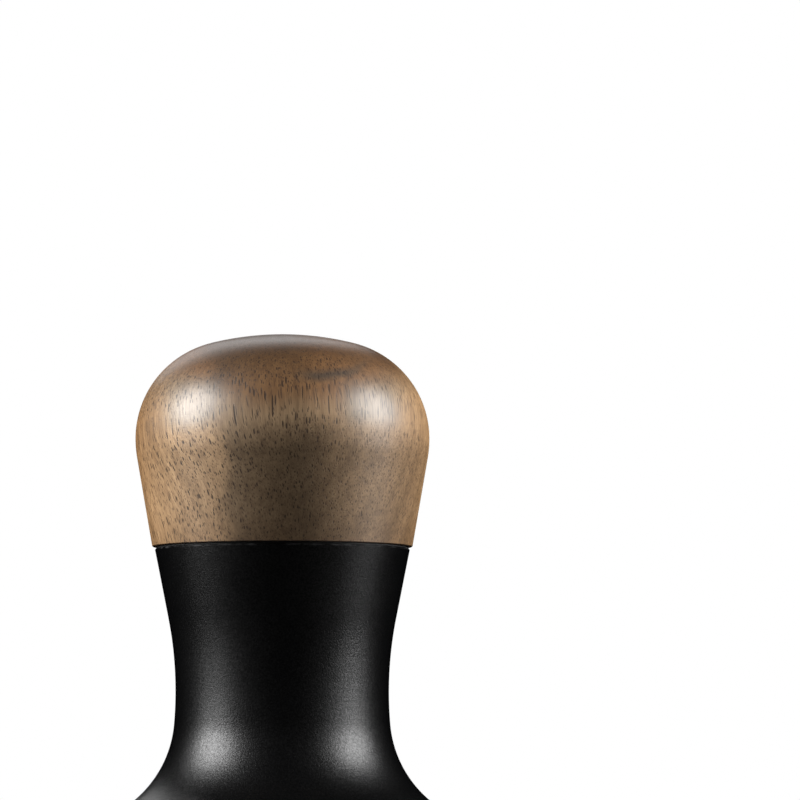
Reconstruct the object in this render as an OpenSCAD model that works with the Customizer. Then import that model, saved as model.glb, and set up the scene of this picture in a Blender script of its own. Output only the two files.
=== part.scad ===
// Spring-loaded, self-levelling espresso tamper. Millimetres, +Z up.
// The origin is the centre of the tamping face, which rests on z = 0.

/* [Tamping base] */
// Diameter of the tamping base
base_d = 58.5; // [57.5:0.1:59]
// Thickness of the tamping disc
base_h = 7; // [6:0.5:7.5]
// Chamfer around the tamping face
base_chamfer = 0.4; // [0.2:0.1:0.8]
// Diameter of the hub on the disc
hub_d = 15; // [14:0.5:16]
// Height of the hub above the disc
hub_h = 3; // [2.5:0.5:3]

/* [Plunger] */
// Diameter of the plunger shaft
shaft_d = 12; // [10:0.5:12]
// Thickness of the piston flange at the shaft's head
flange_h = 4; // [3:0.5:4.5]
// Outer diameter of the main spring
spring_od = 21.6; // [20:0.2:22]
// Wire diameter of the main spring
spring_wire = 2.4; // [2:0.1:2.6]
// Active turns of the main spring
spring_turns = 5.5; // [4.5:0.5:5.5]

/* [Handle body] */
// Height of the body's underside above the tamping face
body_z = 21.2; // [21:0.1:22]
// Height of the body, underside to joint
body_h = 41.8; // [41:0.2:44]
// Diameter of the body at the joint with the knob
body_top_d = 36.5; // [36:0.1:37]
// Half angle of the cone under the joint
body_taper = 11.2; // [10.5:0.1:12]
// Diameter of the waist
waist_d = 30.5; // [30:0.1:31]
// Radius of the waist's long hollow curve
waist_curve = 54; // [50:1:60]
// Radius of the flare at the foot
flare_curve = 15.9; // [15.7:0.1:16.4]
// Slope from vertical where the waist's curve hands over to the flare
flare_start = 4.9; // [4:0.1:5.5]
// Diameter of the skirt under the flare
skirt_d = 60; // [59:0.5:60]

/* [Knob] */
// Largest diameter of the wooden knob
knob_d = 42.1; // [41:0.1:44]
// Height of the knob above the joint
knob_h = 30.4; // [29:0.1:33]
// Radius of the dome on top
dome_curve = 42.2; // [40:0.1:46]
// Radius of the shoulder between dome and side
shoulder_curve = 14; // [13:0.5:15]
// Radius of the bulge between shoulder and tapered side
bulge_curve = 16.3; // [15.5:0.1:17]
// Half angle of the knob's tapered side
knob_taper = 9.8; // [9:0.1:11]
// Height of the dark recessed joint between knob and body
joint_gap = 0.3; // [0.2:0.1:0.6]

/* [Leveller] */
// Outer diameter of the levelling ring
ring_d = 69; // [68:0.5:71]
// Height of the levelling ring
ring_h = 15.5; // [14.5:0.5:15.5]
// Radius of the rounding on the ring's outer edges
ring_edge = 1.2; // [0.6:0.1:1.6]
// Radius of the circle that the shoulder screws stand on
screw_circle = 15.5; // [15:0.1:16]
// Number of shoulder screws and levelling springs
screw_count = 3; // [3:1:3]

/* [Hidden] */
$fn = 96;

chord_gap = 0.0012;     // greatest distance between a curved outline and its chords
fit_gap = 0.03;         // radial running clearance of a sliding fit
thread_gap = 0.05;      // radial clearance of a threaded joint

// Base and plunger, from the tamping face up
hub_top = base_h + hub_h;
lock_washer_t = 0.8;
shaft_z = hub_top + lock_washer_t;
stud_d = 8;
stud_pitch = 1.25;
stud_depth = 0.75;
stud_l = 7.3;
stud_hole_z = 2.5;
shaft_flats = 10;       // across the two spanner flats

// Bores of the handle body
bush_wall = 2;
bush_d = shaft_d + 2 * bush_wall;
lower_bush_l = 5.8;
upper_bush_l = 6;
relief_d = shaft_d + 1.4;
chamber_z = body_z + 17.3;
chamber_d = 24;
bumper_t = 1;
flange_z = chamber_z + bumper_t;
flange_d = chamber_d - 0.6;
flange_top = flange_z + flange_h;
spigot_d = 14;
spigot_h = 3.5;
seat_t = 0.8;
seat_d = chamber_d - 1.5;
body_top = body_z + body_h;

// Knob and its threaded insert
knob_z = body_top + joint_gap;
knob_top = knob_z + knob_h;
insert_thread_d = 28;
insert_pitch = 1;
insert_depth = 0.6;
insert_thread_l = 7;
insert_d = 29;
insert_cavity_d = 24.4;
insert_top = knob_z + 10.1;
insert_cavity_top = insert_top - 2.5;
upper_seat_z = insert_cavity_top - seat_t;
main_spring_z = flange_top + seat_t;
knob_screw_circle = 7.5;
knob_screw_d = 3.5;
knob_screw_head_d = 6.4;
knob_screw_pitch = 1.6;
knob_screw_turns = 6;

// Leveller
ring_z = base_h;
ring_top = ring_z + ring_h;
ring_web_z = ring_z + 4.5;
ring_web_t = 3.5;
ring_web_top = ring_web_z + ring_web_t;
ring_bore = skirt_d + 0.8;
ring_recess = base_d + 1;
ring_eye = hub_d + 2;
pocket_d = 8;
pocket_top = body_z + 3.8;
screw_seat_z = ring_web_z + 2;
screw_head_d = 7;
screw_head_h = 1.9;
screw_shoulder_d = 4;
screw_thread_d = 3;
screw_thread_l = 3.3;
bush_sleeve_d = 5.6;
bush_flange_d = 6.8;
bush_flange_t = 0.5;
leveller_coil_r = 2.6;
leveller_wire = 0.45;
leveller_turns = 3.5;
leveller_spring_z = ring_web_top + bush_flange_t;

// Points of a circular arc about c, from angle a0 to angle a1, without the first skip points
function arc(c, r, a0, a1, skip = 0) =
    let (n = ceil(abs(a1 - a0) / (2 * acos(1 - chord_gap / r))))
    [for (i = [skip:n]) let (a = a0 + (a1 - a0) * i / n) c + r * [cos(a), sin(a)]];

// Zigzag edge of a thread's crests and roots, drawn upwards from z0
function thread(r, pitch, depth, z0, turns) =
    [for (i = [0:turns - 1]) each [[r - depth, z0 + i * pitch], [r, z0 + (i + 0.5) * pitch]]];

// Height of a coil's wire after n turns: one closed turn at each end, open turns between
function coil_rise(n, wire, length, turns) =
    let (shut = 1.04 * wire, open = (length - wire - 2 * shut) / turns)
    n < 1 ? n * shut : n < 1 + turns ? shut + (n - 1) * open : shut + turns * open + (n - 1 - turns) * shut;

// Outside of the handle body, from the foot of the skirt up to the joint
function body_outline() =
    let (
        skirt_r = skirt_d / 2,
        cone_r = waist_d / 2 + waist_curve * (1 - cos(body_taper)),
        cone_z = body_top - (body_top_d / 2 - cone_r) / tan(body_taper),
        waist_c = [waist_d / 2 + waist_curve, cone_z - waist_curve * sin(body_taper)],
        flare_c = waist_c - (waist_curve - flare_curve) * [cos(flare_start), sin(flare_start)],
        edge = 0.3,
        top_edge = 0.15,
        flare_end = 180 + acos((flare_c[0] - skirt_r + edge) / flare_curve),
        flare_end_z = flare_c[1] + flare_curve * sin(flare_end),
        top_r = body_top_d / 2
    )
    concat(
        [[skirt_r - edge, body_z], [skirt_r, body_z + edge], [skirt_r, flare_end_z - edge]],
        arc(flare_c, flare_curve, flare_end, 180 + flare_start),
        arc(waist_c, waist_curve, 180 + flare_start, 180 - body_taper, 1),
        [[top_r - top_edge * tan(body_taper), body_top - top_edge], [top_r - top_edge, body_top]]
    );

// Outside of the knob, from the joint up to the pole of the dome
function knob_outline() =
    let (
        shoulder_x = knob_d / 2 - shoulder_curve,
        dome_c = [0, knob_top - dome_curve],
        reach = dome_curve - shoulder_curve,
        shoulder_c = [shoulder_x, dome_c[1] + sqrt(reach * reach - shoulder_x * shoulder_x)],
        meet = acos(shoulder_x / reach),
        bulge_c = [knob_d / 2 - bulge_curve, shoulder_c[1]],
        side = bulge_c + bulge_curve * [cos(knob_taper), -sin(knob_taper)],
        foot_r = side[0] - (side[1] - knob_z) * tan(knob_taper),
        edge = 0.1
    )
    concat(
        [[foot_r - edge, knob_z], [foot_r + edge * tan(knob_taper), knob_z + edge]],
        arc(bulge_c, bulge_curve, -knob_taper, 0),
        arc(shoulder_c, shoulder_curve, 0, meet, 1),
        arc(dome_c, dome_curve, meet, 90, 1)
    );

// Ring between two heights, with chamfered outer edges
module ring(od, id, z0, z1, edge = 0.2) {
    rotate_extrude()
        polygon([
            [id / 2, z0], [od / 2 - edge, z0], [od / 2, z0 + edge],
            [od / 2, z1 - edge], [od / 2 - edge, z1], [id / 2, z1]
        ]);
}

// Places its children on each spoke of a circle, the first spoke at start degrees
module on_circle(radius, count, start) {
    for (i = [0:count - 1]) rotate(start + i * 360 / count) translate([radius, 0, 0]) children();
}

// Round-wire compression spring between two heights, with one closed turn at each end
module coil_spring(radius, wire, z0, z1, turns, per_turn, sides) {
    rings = ceil((turns + 2) * per_turn);
    points = [
        for (i = [0:rings])
            let (n = i * (turns + 2) / rings, a = 360 * n, z = z0 + wire / 2 + coil_rise(n, wire, z1 - z0, turns))
            for (s = [0:sides - 1])
                let (b = 360 * s / sides, r = radius + wire / 2 * cos(b))
                [r * cos(a), r * sin(a), z + wire / 2 * sin(b)]
    ];
    sleeve = [
        for (i = [0:rings - 1], s = [0:sides - 1])
            let (t = (s + 1) % sides)
            [i * sides + s, i * sides + t, (i + 1) * sides + t, (i + 1) * sides + s]
    ];
    first = [for (s = [sides - 1:-1:0]) s];
    last = [for (s = [0:sides - 1]) rings * sides + s];
    polyhedron(points, concat(sleeve, [first, last]), convexity = 12);
}

// Stainless disc with the tamping face below and a threaded hub above
module tamper_base() {
    r = base_d / 2;
    mouth = 0.4;
    color("silver") rotate_extrude() polygon([
        [0, 0], [r - base_chamfer, 0], [r, base_chamfer], [r, base_h - 0.5], [r - 0.5, base_h],
        [hub_d / 2 + 0.6, base_h], [hub_d / 2, base_h + 0.6], [hub_d / 2, hub_top - 0.3],
        [hub_d / 2 - 0.3, hub_top], [stud_d / 2 + mouth, hub_top], [stud_d / 2, hub_top - mouth],
        [stud_d / 2, stud_hole_z + 0.6], [0, stud_hole_z]
    ]);
}

// Spring washer that locks the shaft's shoulder on the hub
module base_lock_washer() {
    color("dimgray") ring(hub_d - 1, stud_d + 0.4, hub_top, shaft_z, 0.1);
}

// Shaft with a threaded stud below, spanner flats, and a piston flange at its head
module plunger_shaft() {
    r = shaft_d / 2;
    color("gainsboro") difference() {
        rotate_extrude() polygon(concat(
            [[0, shaft_z - stud_l]],
            thread(stud_d / 2 - thread_gap, stud_pitch, stud_depth, shaft_z - stud_l, 5),
            [[stud_d / 2 - stud_depth, shaft_z], [r - 0.3, shaft_z], [r, shaft_z + 0.3], [r, flange_z]],
            [[flange_d / 2 - 0.3, flange_z], [flange_d / 2, flange_z + 0.3]],
            [[flange_d / 2, flange_z + 1], [flange_d / 2 - 1, flange_z + 1]],
            [[flange_d / 2 - 1, flange_top - 1], [flange_d / 2, flange_top - 1]],
            [[flange_d / 2, flange_top - 0.3], [flange_d / 2 - 0.3, flange_top]],
            [[spigot_d / 2, flange_top], [spigot_d / 2, flange_top + spigot_h - 0.8]],
            [[spigot_d / 2 - 0.8, flange_top + spigot_h], [0, flange_top + spigot_h]]
        ));
        for (side = [-1, 1])
            translate([side * (shaft_flats + 4) / 2, 0, shaft_z + 3.2]) cube([4, shaft_d + 2, 4], center = true);
    }
}

// Plastic guide ring in the flange's groove, which steadies the piston in the chamber
module piston_ring() {
    color("ivory") ring(chamber_d - 2 * thread_gap, flange_d - 2, flange_z + 1, flange_top - 1, 0.15);
}

// Washer that the main spring stands on
module lower_spring_seat() {
    color("gray") ring(seat_d, spigot_d + 0.2, flange_top, flange_top + seat_t, 0.1);
}

// Main compression spring, which sets the tamping force
module main_spring() {
    color("lightsteelblue")
        coil_spring((spring_od - spring_wire) / 2, spring_wire, main_spring_z, upper_seat_z, spring_turns, 20, 8);
}

// Anodised bell-shaped body with the bush seats, the spring chamber and the knob's thread
module handle_body() {
    bore = insert_thread_d / 2 + thread_gap;
    relief_z = body_z + lower_bush_l;
    upper_bush_z = chamber_z - upper_bush_l;
    thread_z = body_top - insert_thread_l;
    color("#181818") difference() {
        rotate_extrude() polygon(concat(
            body_outline(),
            [[bore + 0.4, body_top], [bore, body_top - 0.4], [bore, thread_z], [chamber_d / 2, thread_z]],
            [[chamber_d / 2, chamber_z], [bush_d / 2, chamber_z], [bush_d / 2, upper_bush_z]],
            [[relief_d / 2, upper_bush_z], [relief_d / 2, relief_z], [bush_d / 2, relief_z]],
            [[bush_d / 2, body_z]]
        ));
        on_circle(screw_circle, screw_count, 90) {
            translate([0, 0, body_z - 1]) cylinder(d = pocket_d, h = pocket_top - body_z + 1);
            translate([0, 0, pocket_top - 1]) cylinder(d = screw_thread_d, h = screw_thread_l + 1.4);
        }
    }
}

// Plain bearing at the bottom of the body
module shaft_bush_lower() {
    color("darkgoldenrod") ring(bush_d, shaft_d + 2 * fit_gap, body_z, body_z + lower_bush_l);
}

// Plain bearing under the spring chamber
module shaft_bush_upper() {
    color("darkgoldenrod") ring(bush_d, shaft_d + 2 * fit_gap, chamber_z - upper_bush_l, chamber_z);
}

// Rubber ring that the piston comes to rest on
module stop_bumper() {
    color("black") ring(flange_d, shaft_d + 1.6, chamber_z, flange_z, 0.15);
}

// Thin dark washer that shows as the recessed line between wood and metal
module joint_washer() {
    color("black") ring(body_top_d - 0.4, insert_thread_d + 0.3, body_top, knob_z, 0.05);
}

// Threaded cup that closes the spring chamber and carries the knob
module knob_insert() {
    inner = insert_cavity_d / 2;
    outer = insert_d / 2;
    thread_r = insert_thread_d / 2;
    thread_z = body_top - insert_thread_l;
    color("lightgray") difference() {
        rotate_extrude() polygon(concat(
            [[inner, thread_z]],
            thread(thread_r, insert_pitch, insert_depth, thread_z, insert_thread_l),
            [[thread_r - insert_depth, body_top], [thread_r - insert_depth, knob_z], [outer, knob_z]],
            [[outer, insert_top - 0.5], [outer - 0.5, insert_top], [0, insert_top], [0, insert_cavity_top]],
            [[inner, insert_cavity_top]]
        ));
        on_circle(knob_screw_circle, 3, 30) {
            translate([0, 0, insert_cavity_top - 1]) cylinder(d = knob_screw_d + 0.2, h = 5);
            translate([0, 0, insert_cavity_top - 0.01])
                cylinder(d1 = knob_screw_head_d + 0.2, d2 = knob_screw_d + 0.2, h = 1.6);
        }
    }
}

// Washer that the main spring pushes up against
module upper_spring_seat() {
    color("gray") ring(seat_d, spigot_d + 0.2, upper_seat_z, insert_cavity_top, 0.1);
}

// Countersunk wood screws that hold the knob on its insert
module knob_screws() {
    shank_r = knob_screw_d / 2;
    thread_z = insert_top + 0.4;
    tip_z = thread_z + knob_screw_turns * knob_screw_pitch;
    color("silver") on_circle(knob_screw_circle, 3, 30) difference() {
        rotate_extrude() polygon(concat(
            [[0, insert_cavity_top], [knob_screw_head_d / 2, insert_cavity_top], [shank_r, insert_cavity_top + 1.5]],
            [[shank_r, thread_z - 0.3]],
            thread(shank_r, knob_screw_pitch, 0.5, thread_z, knob_screw_turns),
            [[shank_r - 0.5, tip_z], [0, tip_z + 1.8]]
        ));
        for (turn = [0, 90]) rotate(turn)
            translate([0, 0, insert_cavity_top]) cube([3.2, 0.7, 2], center = true);
    }
}

// Turned hardwood knob
module wood_knob() {
    bore = insert_d / 2 + thread_gap;
    floor_z = insert_top + 0.1;
    pilot_l = knob_screw_turns * knob_screw_pitch + 3;
    color("#7a5a3c") difference() {
        rotate_extrude() polygon(concat(
            [[bore + 0.3, knob_z]],
            knob_outline(),
            [[0, floor_z], [bore, floor_z], [bore, knob_z + 0.3]]
        ));
        on_circle(knob_screw_circle, 3, 30)
            translate([0, 0, floor_z - 1]) cylinder(d = knob_screw_d + 0.1, h = pilot_l + 1);
    }
}

// Shoulder screws that the levelling ring slides on
module leveller_screws() {
    thread_r = screw_thread_d / 2 - thread_gap;
    head_z = screw_seat_z - screw_head_h;
    color("silver") on_circle(screw_circle, screw_count, 90) difference() {
        rotate_extrude() polygon(concat(
            [[0, head_z], [screw_head_d / 2 - 0.3, head_z], [screw_head_d / 2, head_z + 0.3]],
            [[screw_head_d / 2, screw_seat_z], [screw_shoulder_d / 2, screw_seat_z]],
            [[screw_shoulder_d / 2, pocket_top]],
            thread(thread_r, 0.5, 0.3, pocket_top, 6),
            [[thread_r - 0.3, pocket_top + screw_thread_l - 0.3], [0, pocket_top + screw_thread_l]]
        ));
        translate([0, 0, head_z - 1]) cylinder(d = 2.9, h = 2.1, $fn = 6);
    }
}

// Light spring around one shoulder screw
module leveller_spring(index) {
    color("lightsteelblue") rotate(90 + index * 360 / screw_count) translate([screw_circle, 0, 0])
        coil_spring(leveller_coil_r, leveller_wire, leveller_spring_z, pocket_top, leveller_turns, 14, 6);
}

module leveller_spring_1() { leveller_spring(0); }
module leveller_spring_2() { leveller_spring(1); }
module leveller_spring_3() { leveller_spring(2); }

// Black ring that rests on the basket's rim and keeps the tamper level
module leveller_ring() {
    r = ring_d / 2;
    e = ring_edge;
    color("#1c1c1c") difference() {
        rotate_extrude() polygon(concat(
            [[ring_eye / 2, ring_web_z], [ring_recess / 2, ring_web_z], [ring_recess / 2, ring_z + 0.3]],
            [[ring_recess / 2 + 0.3, ring_z]],
            arc([r - e, ring_z + e], e, -90, 0),
            arc([r - e, ring_top - e], e, 0, 90),
            [[ring_bore / 2 + 0.4, ring_top], [ring_bore / 2, ring_top - 0.4], [ring_bore / 2, ring_web_top]],
            [[ring_eye / 2, ring_web_top]]
        ));
        on_circle(screw_circle, screw_count, 90) {
            translate([0, 0, ring_web_z - 1]) cylinder(d = bush_sleeve_d, h = ring_web_t + 2);
            translate([0, 0, ring_web_z - 1]) cylinder(d = screw_head_d + 0.6, h = screw_seat_z - ring_web_z + 1);
        }
    }
}

// Flanged plastic bush that runs on one shoulder screw
module leveller_bush(index) {
    bore = screw_shoulder_d / 2 + thread_gap;
    color("ivory") rotate(90 + index * 360 / screw_count) translate([screw_circle, 0, 0])
        rotate_extrude() polygon([
            [bore, screw_seat_z], [bush_sleeve_d / 2, screw_seat_z], [bush_sleeve_d / 2, ring_web_top],
            [bush_flange_d / 2, ring_web_top], [bush_flange_d / 2, leveller_spring_z],
            [bore, leveller_spring_z]
        ]);
}

module leveller_bush_1() { leveller_bush(0); }
module leveller_bush_2() { leveller_bush(1); }
module leveller_bush_3() { leveller_bush(2); }

tamper_base();
base_lock_washer();
plunger_shaft();
piston_ring();
lower_spring_seat();
main_spring();
handle_body();
shaft_bush_lower();
shaft_bush_upper();
stop_bumper();
joint_washer();
knob_insert();
upper_spring_seat();
knob_screws();
wood_knob();
leveller_screws();
leveller_spring_1();
leveller_spring_2();
leveller_spring_3();
leveller_ring();
leveller_bush_1();
leveller_bush_2();
leveller_bush_3();
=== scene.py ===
import math

import bmesh
import bpy
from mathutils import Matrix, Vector


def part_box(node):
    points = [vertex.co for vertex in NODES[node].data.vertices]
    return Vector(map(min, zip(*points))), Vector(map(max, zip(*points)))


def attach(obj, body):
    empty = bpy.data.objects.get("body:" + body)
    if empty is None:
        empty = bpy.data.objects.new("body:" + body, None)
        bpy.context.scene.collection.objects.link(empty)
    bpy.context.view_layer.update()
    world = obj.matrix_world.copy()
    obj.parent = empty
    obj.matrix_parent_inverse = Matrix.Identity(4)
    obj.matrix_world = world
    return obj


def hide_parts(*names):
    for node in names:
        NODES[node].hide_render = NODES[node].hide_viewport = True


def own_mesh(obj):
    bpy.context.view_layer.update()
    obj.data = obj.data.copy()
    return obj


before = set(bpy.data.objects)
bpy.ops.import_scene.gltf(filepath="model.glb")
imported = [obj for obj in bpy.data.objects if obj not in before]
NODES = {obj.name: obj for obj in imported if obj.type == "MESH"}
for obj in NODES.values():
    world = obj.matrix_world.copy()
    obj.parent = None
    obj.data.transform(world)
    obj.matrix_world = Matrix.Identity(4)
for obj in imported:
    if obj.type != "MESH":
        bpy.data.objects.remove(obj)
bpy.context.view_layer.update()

MM = 0.001
SCENE = bpy.context.scene
KNOB_LOW, KNOB_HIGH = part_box("wood_knob")
BODY_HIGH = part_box("handle_body")[1]
RING_LOW, RING_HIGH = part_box("leveller_ring")
JOINT_Z = BODY_HIGH.z


# ---------------------------------------------------------------- shader kit

class Shader:
    """One Principled material, put together from short calls. Lengths in it are millimetres."""

    def __init__(self, name, color, roughness, metallic=0.0, **fixed):
        self.material = bpy.data.materials.new(name)
        self.material.use_nodes = True
        self.tree = self.material.node_tree
        self.bsdf = self.tree.nodes["Principled BSDF"]
        self.set("Base Color", (*color, 1.0))
        self.set("Roughness", roughness)
        self.set("Metallic", metallic)
        for socket, value in fixed.items():
            self.set(socket.replace("_", " "), value)
        self.normal = None
        self.mm = self.scaled(self.node("ShaderNodeTexCoord").outputs["Object"], 1 / MM)

    def set(self, socket, value):
        if isinstance(value, bpy.types.NodeSocket):
            self.tree.links.new(value, self.bsdf.inputs[socket])
        else:
            self.bsdf.inputs[socket].default_value = value

    def node(self, kind, inputs=(), **settings):
        made = self.tree.nodes.new(kind)
        for key, value in settings.items():
            setattr(made, key, value)
        for key, value in dict(inputs).items():
            if isinstance(value, bpy.types.NodeSocket):
                self.tree.links.new(value, made.inputs[key])
            else:
                made.inputs[key].default_value = value
        return made

    def scaled(self, vector, factor):
        factors = factor if isinstance(factor, tuple) else (factor,) * 3
        return self.node("ShaderNodeVectorMath", {0: vector, 1: factors}, operation="MULTIPLY").outputs[0]

    def turned(self, vector, axis, angle):
        return self.node("ShaderNodeVectorRotate", {"Vector": vector, "Axis": axis, "Angle": angle},
                         rotation_type="AXIS_ANGLE").outputs[0]

    def warped(self, vector, scale, amount):
        """vector pushed about by a smooth noise, so that what follows it wanders."""
        noise = self.node("ShaderNodeTexNoise", {"Vector": vector, "Scale": scale, "Detail": 1.0})
        centred = self.node("ShaderNodeVectorMath", {0: noise.outputs["Color"], 1: (0.5, 0.5, 0.5)},
                            operation="SUBTRACT").outputs[0]
        return self.node("ShaderNodeVectorMath", {0: self.scaled(centred, amount), 1: vector},
                         operation="ADD").outputs[0]

    def noise(self, vector, scale, detail=2.0, roughness=0.5):
        return self.node("ShaderNodeTexNoise", {"Vector": vector, "Scale": scale, "Detail": detail,
                                                "Roughness": roughness}).outputs[0]

    def math(self, operation, a, b=0.0):
        return self.node("ShaderNodeMath", {0: a, 1: b}, operation=operation).outputs[0]

    def product(self, a, b):
        return self.math("MULTIPLY", a, b)

    def off(self, value, centre):
        """How far value is from centre, on either side."""
        return self.math("ABSOLUTE", self.math("SUBTRACT", value, centre))

    def span(self, value, low, high, to_low=0.0, to_high=1.0, smooth=False):
        """value carried from low..high to to_low..to_high, and held at the ends."""
        kind = "SMOOTHSTEP" if smooth else "LINEAR"
        return self.node("ShaderNodeMapRange", {"Value": value, "From Min": low, "From Max": high,
                                                "To Min": to_low, "To Max": to_high},
                         interpolation_type=kind).outputs[0]

    def ramp(self, value, stops):
        made = self.node("ShaderNodeValToRGB", {"Fac": value})
        elements = made.color_ramp.elements
        while len(elements) < len(stops):
            elements.new(0.5)
        for element, (place, color) in zip(elements, stops):
            element.position = place
            element.color = (*color, 1.0)
        return made.outputs["Color"]

    def mix(self, share, a, b, blend="MIX"):
        made = self.node("ShaderNodeMix", {"Factor": share}, data_type="RGBA", blend_type=blend)
        for place, value in ((6, a), (7, b)):
            if isinstance(value, bpy.types.NodeSocket):
                self.tree.links.new(value, made.inputs[place])
            else:
                made.inputs[place].default_value = (*value, 1.0)
        return made.outputs[2]

    def tinted(self, share, color, tint):
        """color, multiplied by tint over a share of the surface."""
        return self.mix(share, color, self.mix(1.0, color, tint, "MULTIPLY"))

    def part(self, vector, axis):
        return self.node("ShaderNodeSeparateXYZ", {0: vector}).outputs[axis]

    def radius(self):
        """Distance from the tamper's axis."""
        flat = self.scaled(self.mm, (1.0, 1.0, 0.0))
        return self.node("ShaderNodeVectorMath", {0: flat}, operation="LENGTH").outputs["Value"]

    def fading(self, start, end, least):
        """Share of the gloss that is left where the surface turns away from the eye."""
        turned = self.node("ShaderNodeLayerWeight", {"Blend": 0.5}).outputs["Facing"]
        return self.span(turned, start, end, 1.0, least)

    def bump(self, height, depth_mm, strength=1.0):
        inputs = {"Height": height, "Distance": depth_mm * MM, "Strength": strength}
        if self.normal is not None:
            inputs["Normal"] = self.normal
        self.normal = self.node("ShaderNodeBump", inputs).outputs[0]
        self.set("Normal", self.normal)


# ---------------------------------------------------------------- materials

def vessels(s, along, cell, thin, thick, length):
    """Vessels of the wood: tubes along the fibres, cut as dots across them and as dashes along them."""
    cells = s.node("ShaderNodeTexVoronoi", {"Vector": along, "Scale": 1 / cell, "Randomness": 1.0},
                   voronoi_dimensions="2D")
    chance = s.part(cells.outputs["Color"], 0)
    phase = s.math("FRACT", s.math("ADD", s.math("DIVIDE", s.part(along, 2), length),
                                   s.product(s.part(cells.outputs["Color"], 1), 5.0)))
    stretch = s.span(s.off(phase, 0.5), 0.24, 0.38, 1.0, 0.01, smooth=True)
    size = s.span(chance, 0.1, 1.0, thin / cell, thick / cell)
    near = s.math("DIVIDE", cells.outputs["Distance"], s.product(size, stretch))
    return s.span(near, 0.7, 1.2, 1.0, 0.0, smooth=True)


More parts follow.
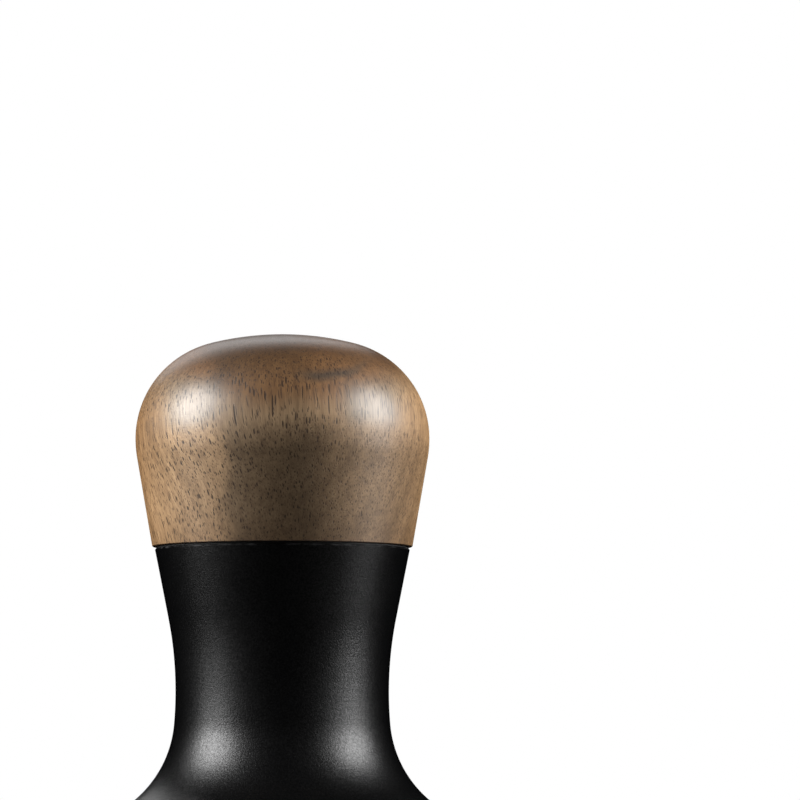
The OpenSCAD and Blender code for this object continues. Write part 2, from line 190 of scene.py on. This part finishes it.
def walnut():
    """Oiled walnut. Its fibres lean back, so pores show as dots low on the front and as lines above."""
    s = Shader("walnut", (0.3, 0.19, 0.11), 0.42, Coat_Roughness=0.33)
    fibre = Vector((-0.12, 0.3, 0.946)).normalized()
    up = Vector((0, 0, 1))
    axis = fibre.cross(up).normalized()
    along = s.turned(s.mm, tuple(axis), fibre.angle(up))
    wandering = s.warped(along, 0.06, 2.6)

    # Side grain is light; end grain soaks up oil and turns dark and a little red
    normal = s.node("ShaderNodeTexCoord").outputs["Normal"]
    facing = s.node("ShaderNodeVectorMath", {0: normal, 1: tuple(fibre)},
                    operation="DOT_PRODUCT").outputs["Value"]
    shade = s.ramp(s.math("ABSOLUTE", facing), [
        (0.0, (1.0, 1.0, 1.0)), (0.16, (1.0, 1.0, 1.0)), (0.32, (0.78, 0.78, 0.78)),
        (0.46, (0.62, 0.62, 0.62)), (0.62, (0.42, 0.41, 0.4)), (0.95, (0.26, 0.22, 0.2))])

    # Colour: broad zones, growth bands, and fine fibre streaks
    zones = s.noise(s.scaled(wandering, (0.055, 0.055, 0.02)), 1.0, 2.0)
    bands = s.noise(s.scaled(wandering, (0.12, 0.42, 0.018)), 1.0, 3.0, 0.55)
    tone = s.math("ADD", s.product(zones, 0.5), s.product(bands, 0.5))
    color = s.ramp(s.span(tone, 0.34, 0.64), [
        (0.0, (0.29, 0.179, 0.09)), (0.35, (0.425, 0.269, 0.139)),
        (0.7, (0.53, 0.341, 0.182)), (1.0, (0.6, 0.389, 0.211))])
    color = s.mix(1.0, color, shade, "MULTIPLY")

    # Heartwood and painted shade: a dark greyish band through the middle, partly wood figure, partly
    # painted shade for the centre that the side lamps leave dim
    across = s.part(s.warped(along, 0.11, 4.0), 0)
    heartwood_and_shade = s.product(s.span(across, -1.8, 1.8, 0.0, 1.0, smooth=True),
                     s.span(across, 10.0, 19.0, 1.0, 0.0, smooth=True))
    color = s.tinted(s.product(heartwood_and_shade, 0.85), color, (0.42, 0.44, 0.46))

    # A red-brown cap, lower towards the front, with a short mineral streak in it
    place = s.warped(s.mm, 0.09, 3.5)
    side = s.part(place, 0)
    depth = s.math("SUBTRACT", KNOB_HIGH.z / MM, s.part(place, 2))
    leaning = s.math("ADD", depth, s.product(s.math("ADD", s.part(place, 1), 12.0), 0.4))
    cap = s.span(leaning, 5.5, 9.5, 1.0, 0.0, smooth=True)
    color = s.tinted(cap, color, (0.58, 0.45, 0.33))
    mineral = s.product(s.span(s.off(leaning, 4.8), 0.1, 0.7, 1.0, 0.0),
                        s.span(s.off(side, 7.0), 2.0, 6.0, 1.0, 0.0))
    color = s.mix(s.product(mineral, 0.7), color, (0.05, 0.045, 0.035))

    # Painted shade: the left and right sides darkened and warmed, the left more
    painted_side_shade = s.math("ADD", s.span(side, -20.5, -15.5, 0.95, 0.0), s.span(side, 12.0, 18.5, 0.0, 0.5))
    color = s.tinted(painted_side_shade, color, (0.5, 0.43, 0.35))

    # Painted highlight: the shoulders left and right, where the side lamps' highlights fall, greyed and
    # darkened so that these highlights read whiter
    greyed_under_highlights = s.product(
        s.span(s.off(s.math("ABSOLUTE", side), 12.8), 2.2, 5.2, 1.0, 0.0, smooth=True),
        s.span(s.off(depth, 10.5), 1.5, 5.0, 1.0, 0.0, smooth=True))
    color = s.tinted(s.product(greyed_under_highlights, 0.9), color, (0.55, 0.62, 0.7))

    # Dark fibre streaks
    coarse = s.noise(s.scaled(wandering, (1.7, 1.7, 0.07)), 1.0, 3.0, 0.6)
    fine = s.noise(s.scaled(wandering, (6.0, 6.0, 0.22)), 1.0, 2.0, 0.6)
    streaks = s.math("ADD", s.product(coarse, 0.5), s.product(fine, 0.5))
    color = s.tinted(s.span(streaks, 0.4, 0.66, 0.0, 0.85), color, (0.42, 0.37, 0.34))

    # Darker and patchy towards the lower edge, along the joint
    low = s.math("SUBTRACT", s.part(s.mm, 2), KNOB_LOW.z / MM)
    darker_near_joint = s.product(s.span(low, 0.0, 5.0, 0.6, 0.0),
                      s.span(s.noise(s.mm, 0.5, 3.0), 0.3, 0.6, 0.6, 1.0))
    color = s.tinted(darker_near_joint, color, (0.45, 0.38, 0.3))

    # Pores, and a gloss that they dull a little
    large = vessels(s, wandering, 0.46, 0.05, 0.13, 6.0)
    small = vessels(s, s.warped(along, 0.09, 2.0), 0.31, 0.04, 0.08, 4.0)
    pores = s.math("MAXIMUM", large, s.product(small, 0.85))
    shown = s.product(pores, s.span(side, 6.0, 12.0, 0.92, 0.65))
    color = s.mix(shown, color, (0.03, 0.017, 0.01))
    s.set("Base Color", color)
    fading = s.fading(0.6, 0.9, 0.05)
    s.set("Coat Weight", s.product(s.span(pores, 0.0, 1.0, 0.4, 0.3), fading))
    s.set("Specular IOR Level", s.product(s.span(pores, 0.0, 1.0, 0.4, 0.35), fading))
    s.set("Roughness", s.span(fine, 0.3, 0.7, 0.42, 0.54))
    s.bump(fine, 0.012, 0.5)
    s.bump(s.product(pores, -1.0), 0.04, 0.25)
    return s.material


def black_anodised(name, corners):
    """Bead-blasted black aluminium, its oxide rubbed thin at corners, a list of (radius, height); on the
    handle body's top edge this lighter line is also a painted glint.
    """
    s = Shader(name, (0.0007, 0.0007, 0.0008), 0.34)
    blast = s.noise(s.mm, 5.5, 2.0, 0.6)
    cloud = s.noise(s.mm, 0.12, 3.0)
    s.set("Roughness", s.math("ADD", s.span(blast, 0.3, 0.7, 0.3, 0.38),
                              s.span(cloud, 0.3, 0.7, -0.015, 0.015)))
    color = s.mix(cloud, (0.0005, 0.0005, 0.0006), (0.0009, 0.0009, 0.001))
    r, z = s.radius(), s.part(s.mm, 2)
    patches = s.span(s.noise(s.mm, 0.7, 4.0), 0.45, 0.65)
    # Lighter lines at the corners: rubbed-through oxide, and on the handle body's top edge also a painted
    # glint of the side lamps
    for radius, height in corners:
        out, up = s.math("SUBTRACT", r, radius / MM), s.math("SUBTRACT", z, height / MM)
        gap = s.math("SQRT", s.math("ADD", s.product(out, out), s.product(up, up)))
        wear_and_glint = s.product(s.span(gap, 0.06, 0.3, 1.0, 0.0), patches)
        color = s.mix(s.product(wear_and_glint, 0.8), color, (0.06, 0.06, 0.061))
    s.set("Base Color", color)
    gloss = s.span(s.noise(s.mm, 3.6, 2.0, 0.7), 0.36, 0.64, 0.2, 0.4)
    s.set("Specular IOR Level", s.product(gloss, s.fading(0.35, 0.85, 0.06)))
    s.bump(blast, 0.045, 0.7)
    return s.material


def turned_steel():
    """Stainless steel faced and turned on a lathe: fine rings on the flats, fine lines round the wall."""
    s = Shader("turned_steel", (0.6, 0.595, 0.585), 0.24, metallic=1.0, Anisotropic=0.45)
    tangent = s.node("ShaderNodeTangent", direction_type="RADIAL", axis="Z").outputs[0]
    s.set("Tangent", tangent)
    r, z = s.radius(), s.part(s.mm, 2)
    path = s.node("ShaderNodeCombineXYZ", {0: s.product(r, 5.0), 1: s.product(z, 5.0)}).outputs[0]
    rings = s.noise(path, 1.0, 3.0, 0.7)
    smears = s.noise(s.mm, 0.12, 4.0, 0.6)
    s.set("Roughness", s.math("ADD", s.span(rings, 0.3, 0.7, 0.17, 0.28),
                              s.span(smears, 0.35, 0.7, 0.0, 0.08)))
    s.set("Base Color", s.mix(smears, (0.44, 0.435, 0.425), (0.53, 0.525, 0.515)))
    s.bump(rings, 0.006, 0.5)
    return s.material


def plain_metal(name, color, roughness, scale, depth, dark=0.75):
    """Metal with a fine surface and faint stains, for the small parts."""
    s = Shader(name, color, roughness, metallic=1.0)
    grain = s.noise(s.mm, scale, 3.0, 0.6)
    stain = s.noise(s.mm, 0.35, 4.0, 0.6)
    shade = tuple(c * dark for c in color)
    s.set("Base Color", s.mix(s.span(stain, 0.35, 0.7), color, shade))
    s.set("Roughness", s.span(grain, 0.3, 0.7, roughness - 0.06, roughness + 0.08))
    s.bump(grain, depth, 0.5)
    return s.material


def moulded(name, color, roughness, scale, depth):
    """Plastic or rubber with a moulded skin."""
    s = Shader(name, color, roughness)
    skin = s.noise(s.mm, scale, 3.0, 0.55)
    tint = s.noise(s.mm, 0.3, 3.0)
    darker, lighter = (tuple(c * share for c in color) for share in (0.9, 1.08))
    s.set("Base Color", s.mix(tint, darker, lighter))
    s.set("Roughness", s.span(skin, 0.3, 0.7, roughness - 0.05, roughness + 0.06))
    s.bump(skin, depth, 0.4)
    return s.material


def paint(finishes):
    """Gives each CAD node its material."""
    for material, names in finishes:
        for name in names:
            slots = NODES[name].data.materials
            slots.clear()
            slots.append(material)


# ---------------------------------------------------------------- springs

def coil(name, node, turns, steps, sides=16):
    """Round-wire compression spring in the place of a CAD one, with one closed turn at each end."""
    low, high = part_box(node)
    centre = sum((v.co for v in NODES[node].data.vertices), Vector()) / len(NODES[node].data.vertices)
    reach = [math.hypot(v.co.x - centre.x, v.co.y - centre.y) for v in NODES[node].data.vertices]
    wire = max(reach) - min(reach)
    radius = (max(reach) + min(reach)) / 2
    shut = 1.04 * wire
    tall = high.z - low.z
    open_pitch = (tall - wire - 2 * shut) / turns
    bm = bmesh.new()
    count = int((turns + 2) * steps)
    rings = []
    for i in range(count + 1):
        n = i * (turns + 2) / count
        rise = min(n, 1) * shut + min(max(n - 1, 0), turns) * open_pitch + max(n - 1 - turns, 0) * shut
        out = Vector((math.cos(2 * math.pi * n), math.sin(2 * math.pi * n), 0))
        middle = Vector((centre.x, centre.y, low.z + wire / 2 + rise)) + out * radius
        ring = []
        for k in range(sides):
            b = 2 * math.pi * k / sides
            ring.append(bm.verts.new(middle + (out * math.cos(b) + Vector((0, 0, math.sin(b)))) * wire / 2))
        rings.append(ring)
    for a, b in zip(rings, rings[1:]):
        for k in range(sides):
            bm.faces.new((a[k], a[(k + 1) % sides], b[(k + 1) % sides], b[k]))
    bm.faces.new(rings[0][::-1])
    bm.faces.new(rings[-1])
    bmesh.ops.recalc_face_normals(bm, faces=bm.faces)
    for face in bm.faces:
        face.smooth = len(face.verts) == 4
    mesh = bpy.data.meshes.new(name)
    bm.to_mesh(mesh)
    bm.free()
    piece = bpy.data.objects.new(name, mesh)
    SCENE.collection.objects.link(piece)
    return piece


def springs(material):
    """The main spring and the levelling springs, built as wire coils in place of the CAD ones, the main one
    attached to the base and the others to the handle.
    """
    main = coil("main_spring_wire", "main_spring", turns=5.5, steps=40)
    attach(main, "base")
    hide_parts("main_spring")
    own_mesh(main)
    pieces = [main]
    for index in (1, 2, 3):
        node = f"leveller_spring_{index}"
        light = coil(f"{node}_wire", node, turns=3.5, steps=28, sides=12)
        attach(light, "handle")
        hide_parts(node)
        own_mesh(light)
        pieces.append(light)
    for piece in pieces:
        piece.data.materials.append(material)


# ---------------------------------------------------------------- stage

def softbox(name, azimuth, elevation, distance, width, height, power, aim):
    """Oval light. Azimuth 0 is the camera's side, and it grows to the right."""
    a, e = math.radians(azimuth), math.radians(elevation)
    place = Vector((math.sin(a) * math.cos(e), -math.cos(a) * math.cos(e), math.sin(e))) * distance
    light = bpy.data.lights.new(name, "AREA")
    light.shape = "ELLIPSE"
    light.size, light.size_y = width, height
    light.energy = power
    lamp = bpy.data.objects.new(name, light)
    lamp.location = Vector(aim) + place
    lamp.rotation_mode = "QUATERNION"
    lamp.rotation_quaternion = (-place).to_track_quat("-Z", "Y")
    lamp.visible_camera = False
    SCENE.collection.objects.link(lamp)


def studio():
    aim = (0.0, 0.0, JOINT_Z)
    softbox("key_left", -80, 27, 0.9, 0.58, 0.54, 17.0, aim)
    softbox("key_right", 83, 25, 0.9, 0.56, 0.52, 13.2, aim)
    softbox("low_left", -76, -3, 0.9, 0.5, 0.1, 0.8, aim)
    softbox("low_right", 80, -3, 0.9, 0.5, 0.1, 1.5, aim)
    softbox("top_back", 188, 30, 1.2, 0.8, 0.7, 3.8, aim)
    world = bpy.data.worlds.new("studio")
    SCENE.world = world
    world.use_nodes = True
    tree = world.node_tree
    ambient = tree.nodes["Background"]
    ambient.inputs["Color"].default_value = (1, 1, 1, 1)
    ambient.inputs["Strength"].default_value = 0.01
    white = tree.nodes.new("ShaderNodeBackground")
    white.inputs["Strength"].default_value = 1.0
    white.inputs["Color"].default_value = (1, 1, 1, 1)
    ray = tree.nodes.new("ShaderNodeLightPath")
    mixed = tree.nodes.new("ShaderNodeMixShader")
    tree.links.new(ray.outputs["Is Camera Ray"], mixed.inputs[0])
    tree.links.new(ambient.outputs[0], mixed.inputs[1])
    tree.links.new(white.outputs[0], mixed.inputs[2])
    tree.links.new(mixed.outputs[0], tree.nodes["World Output"].inputs["Surface"])


def floor():
    """Pale paper that brightens outwards into white. Only the part near the tamper mirrors in it."""
    mirrored, reach, sides = 0.06, 3.0, 96
    s = Shader("floor_paper", (0.82, 0.82, 0.82), 0.7, Emission_Color=(1.0, 1.0, 1.0, 1.0))
    away = s.span(s.radius(), 120.0, 600.0, 0.0, 1.0, smooth=True)
    s.set("Emission Strength", away)
    s.set("Base Color", s.mix(away, (0.82, 0.82, 0.82), (0.0, 0.0, 0.0)))
    s.bump(s.noise(s.mm, 0.8, 3.0), 0.02, 0.3)
    edges = [Vector((math.cos(a), math.sin(a), 0)) for a in (2 * math.pi * k / sides for k in range(sides))]
    for name, inner, outer in (("floor_near", 0.0, mirrored), ("floor_far", mirrored, reach)):
        bm = bmesh.new()
        rim = [bm.verts.new(v * outer) for v in edges]
        if inner:
            hole = [bm.verts.new(v * inner) for v in edges]
            for k in range(sides):
                bm.faces.new((hole[k - 1], rim[k - 1], rim[k], hole[k]))
        else:
            bm.faces.new(rim)
        mesh = bpy.data.meshes.new(name)
        bm.to_mesh(mesh)
        bm.free()
        disc = bpy.data.objects.new(name, mesh)
        SCENE.collection.objects.link(disc)
        disc.data.materials.append(s.material)
        disc.visible_diffuse = False
        disc.visible_glossy = name == "floor_near"


def camera():
    """Long lens in front, below the joint. It looks right of and above the tamper, which sits low left."""
    distance = 1.0
    view_width = 114.4 * MM
    eye_below_joint = 44.6 * MM
    aim_right, aim_above_joint = 16.83 * MM, 21.38 * MM
    data = bpy.data.cameras.new("camera")
    data.sensor_width = 36.0
    data.lens = data.sensor_width * distance / view_width
    data.clip_start, data.clip_end = 0.05, 20.0
    cam = bpy.data.objects.new("camera", data)
    cam.location = (0.0, -distance, JOINT_Z - eye_below_joint)
    target = Vector((aim_right, 0.0, JOINT_Z + aim_above_joint))
    cam.rotation_mode = "QUATERNION"
    cam.rotation_quaternion = (target - cam.location).to_track_quat("-Z", "Y")
    SCENE.collection.objects.link(cam)
    SCENE.camera = cam


# ---------------------------------------------------------------- build

SCENE.view_settings.view_transform = "Standard"
camera()
studio()
floor()

EDGE = 0.35 * MM
BODY_RIM_RADIUS = 18.2 * MM
# The handle body's top edge: its lighter line is wear and partly a painted glint
BODY_WEAR_AND_GLINT_CORNERS = [(BODY_RIM_RADIUS, BODY_HIGH.z)]
RING_CORNERS = [(RING_HIGH.x - EDGE, RING_HIGH.z - EDGE), (RING_HIGH.x - EDGE, RING_LOW.z + EDGE),
                (BODY_HIGH.x + EDGE, RING_HIGH.z)]
spring_steel = plain_metal("spring_steel", (0.36, 0.37, 0.4), 0.32, 3.0, 0.004)
paint([
    (walnut(), ["wood_knob"]),
    (black_anodised("black_anodised", BODY_WEAR_AND_GLINT_CORNERS), ["handle_body"]),
    (black_anodised("black_anodised_ring", RING_CORNERS), ["leveller_ring"]),
    (turned_steel(), ["tamper_base"]),
    (plain_metal("shaft_steel", (0.66, 0.66, 0.68), 0.16, 4.0, 0.002), ["plunger_shaft"]),
    (plain_metal("steel_zinc", (0.5, 0.51, 0.53), 0.34, 2.5, 0.004),
     ["base_lock_washer", "lower_spring_seat", "upper_spring_seat", "knob_screws", "leveller_screws"]),
    (spring_steel, ["main_spring", "leveller_spring_1", "leveller_spring_2", "leveller_spring_3"]),
    (plain_metal("bare_aluminium", (0.7, 0.71, 0.73), 0.3, 3.0, 0.004, 0.88), ["knob_insert"]),
    (plain_metal("bearing_bronze", (0.52, 0.36, 0.16), 0.4, 6.0, 0.008),
     ["shaft_bush_lower", "shaft_bush_upper"]),
    (moulded("guide_plastic", (0.78, 0.76, 0.7), 0.4, 2.0, 0.006),
     ["piston_ring", "leveller_bush_1", "leveller_bush_2", "leveller_bush_3"]),
    (moulded("rubber", (0.025, 0.025, 0.025), 0.6, 3.0, 0.02), ["stop_bumper"]),
    (moulded("joint_black", (0.008, 0.008, 0.008), 0.6, 3.0, 0.01), ["joint_washer"]),
])
springs(spring_steel)
